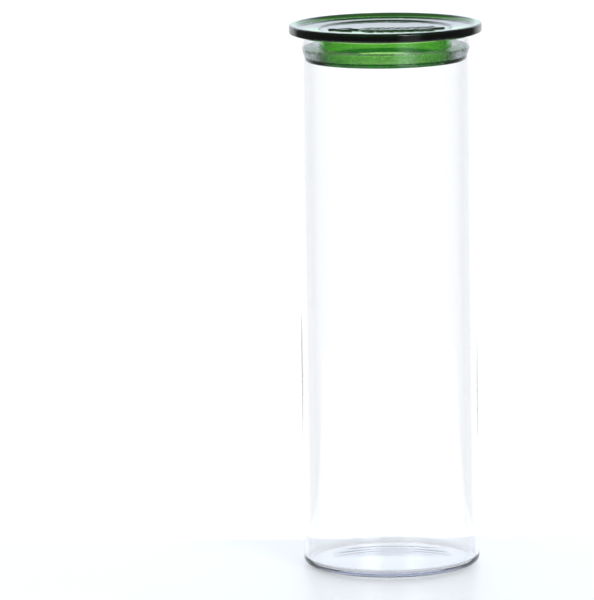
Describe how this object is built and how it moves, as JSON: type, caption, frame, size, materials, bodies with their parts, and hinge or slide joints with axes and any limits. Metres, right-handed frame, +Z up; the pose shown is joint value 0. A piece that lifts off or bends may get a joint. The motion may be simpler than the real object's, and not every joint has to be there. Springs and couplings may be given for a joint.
{
  "type": "lidded glass canister",
  "caption": "Tall straight glass storage jar with a dished green pressed-glass lid that plugs into the mouth with a soft sealing ring on its neck.",
  "frame": {"origin": "centre of the jar's foot, on the surface that it stands on", "axes": "+Z up the jar's axis towards the lid; +X along the ear of wheat on the lid; +Y to the lid's back"},
  "size_m": [0.1088, 0.1088, 0.3082],
  "materials": {
    "clear_glass": "clear, fire-polished",
    "green_glass": "pressed, polished, bright green through its whole thickness",
    "sealing_ring": "translucent silicone, softly milky"
  },
  "bodies": {
    "jar": {"jar": "clear_glass"},
    "ring": {"sealing_ring": "sealing_ring"},
    "lid": {"lid": "green_glass"}
  },
  "joints": [
    {"name": "lid_lift", "type": "slide", "parent": "jar", "child": "ring", "axis": [0, 0, 1], "range_m": [0, 0.06]},
    {"name": "lid_turn", "type": "hinge", "parent": "ring", "child": "lid", "pos_m": [0, 0, 0.303], "axis": [0, 0, 1], "continuous": true}
  ]
}
